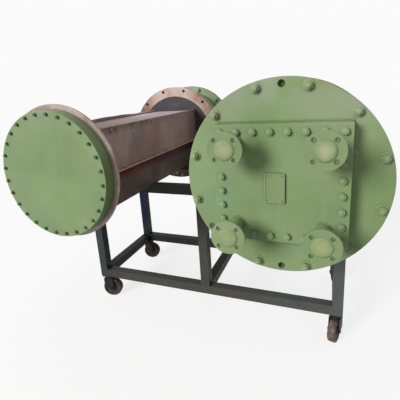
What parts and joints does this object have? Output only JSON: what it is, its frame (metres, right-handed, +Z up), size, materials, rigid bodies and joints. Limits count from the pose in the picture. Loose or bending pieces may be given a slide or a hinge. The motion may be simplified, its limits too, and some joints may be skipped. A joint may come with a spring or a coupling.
{
  "type": "shell and tube heat exchanger bundles on trolley",
  "caption": "Removable cooler bundles of a shell and tube heat exchanger, head to tail on a welded trolley with swivel casters; large bolted end discs, square water boxes, flanged nozzles.",
  "frame": {"origin": "on the floor, midway between the two bundles", "axes": "+Y along the bundles, from the side where the right bundle's nozzles face; +X from the left bundle to the right one; +Z up"},
  "size_m": [1.984, 2.351, 1.6465],
  "materials": {
    "green_paint": "oil paint, satin, brushed and a little dusty",
    "machined_face": "machined face with light surface rust",
    "tubesheet_steel": "dark coated steel, dull",
    "casing_steel": "brown-grey sheet steel, dull",
    "head_steel": "bare turned steel with a thin film of rust",
    "red_gasket": "dark red rubber strip",
    "frame_paint": "dark grey paint, satin",
    "caster_steel": "dark pressed steel, dull",
    "wheel_rubber": "brown-black moulded wheel, dull",
    "blank_sheet": "pale yellow sheet blank, matt"
  },
  "bodies": {
    "trolley": {"front_legs": "frame_paint", "rear_legs": "frame_paint", "front_bottom_rail": "frame_paint", "rear_bottom_rail": "frame_paint", "front_top_rail": "frame_paint", "rear_top_rail": "frame_paint", "bottom_cross_rails": "frame_paint", "top_cross_rails": "frame_paint", "caster_plates": "caster_steel", "left_end_disc": "green_paint", "left_ring_flange": "machined_face", "left_header_drum": "green_paint", "left_channel_flange": "green_paint", "left_tubesheet": "tubesheet_steel", "left_water_box": "green_paint", "left_box_cover": "green_paint", "left_nozzles": "green_paint", "left_casing_top": "casing_steel", "left_casing_sides": "casing_steel", "left_casing_tray": "casing_steel", "left_head_flange": "head_steel", "left_head_cover": "green_paint", "right_end_disc": "green_paint", "right_ring_flange": "machined_face", "right_header_drum": "green_paint", "right_channel_flange": "green_paint", "right_tubesheet": "tubesheet_steel", "right_water_box": "green_paint", "right_box_cover": "green_paint", "right_nozzles": "green_paint", "right_casing_top": "casing_steel", "right_casing_sides": "casing_steel", "right_casing_tray": "casing_steel", "right_head_flange": "head_steel", "right_head_cover": "green_paint", "seam_gaskets": "red_gasket", "nozzle_blanks": "blank_sheet"},
    "fork_front_left": {"fork_front_left": "caster_steel"},
    "wheel_front_left": {"wheel_front_left": "wheel_rubber"},
    "fork_front_right": {"fork_front_right": "caster_steel"},
    "wheel_front_right": {"wheel_front_right": "wheel_rubber"},
    "fork_rear_left": {"fork_rear_left": "caster_steel"},
    "wheel_rear_left": {"wheel_rear_left": "wheel_rubber"},
    "fork_rear_right": {"fork_rear_right": "caster_steel"},
    "wheel_rear_right": {"wheel_rear_right": "wheel_rubber"}
  },
  "joints": [
    {"name": "swivel_front_left", "type": "hinge", "parent": "trolley", "child": "fork_front_left", "pos_m": [-0.9105, -0.293, 0.16], "axis": [0, 0, 1], "continuous": true},
    {"name": "roll_front_left", "type": "hinge", "parent": "fork_front_left", "child": "wheel_front_left", "pos_m": [-0.88635, -0.28653, 0.075], "axis": [-0.2588, 0.9659, 0], "continuous": true},
    {"name": "swivel_front_right", "type": "hinge", "parent": "trolley", "child": "fork_front_right", "pos_m": [0.8285, -0.293, 0.16], "axis": [0, 0, 1], "continuous": true},
    {"name": "roll_front_right", "type": "hinge", "parent": "fork_front_right", "child": "wheel_front_right", "pos_m": [0.82161, -0.31703, 0.075], "axis": [0.9613, -0.2756, 0], "continuous": true},
    {"name": "swivel_rear_left", "type": "hinge", "parent": "trolley", "child": "fork_rear_left", "pos_m": [-0.9105, 0.373, 0.16], "axis": [0, 0, 1], "continuous": true},
    {"name": "roll_rear_left", "type": "hinge", "parent": "fork_rear_left", "child": "wheel_rear_left", "pos_m": [-0.88624, 0.37905, 0.075], "axis": [-0.2419, 0.9703, 0], "continuous": true},
    {"name": "swivel_rear_right", "type": "hinge", "parent": "trolley", "child": "fork_rear_right", "pos_m": [0.8285, 0.373, 0.16], "axis": [0, 0, 1], "continuous": true},
    {"name": "roll_rear_right", "type": "hinge", "parent": "fork_rear_right", "child": "wheel_rear_right", "pos_m": [0.82589, 0.39786, 0.075], "axis": [-0.9945, -0.1045, 0], "continuous": true}
  ]
}
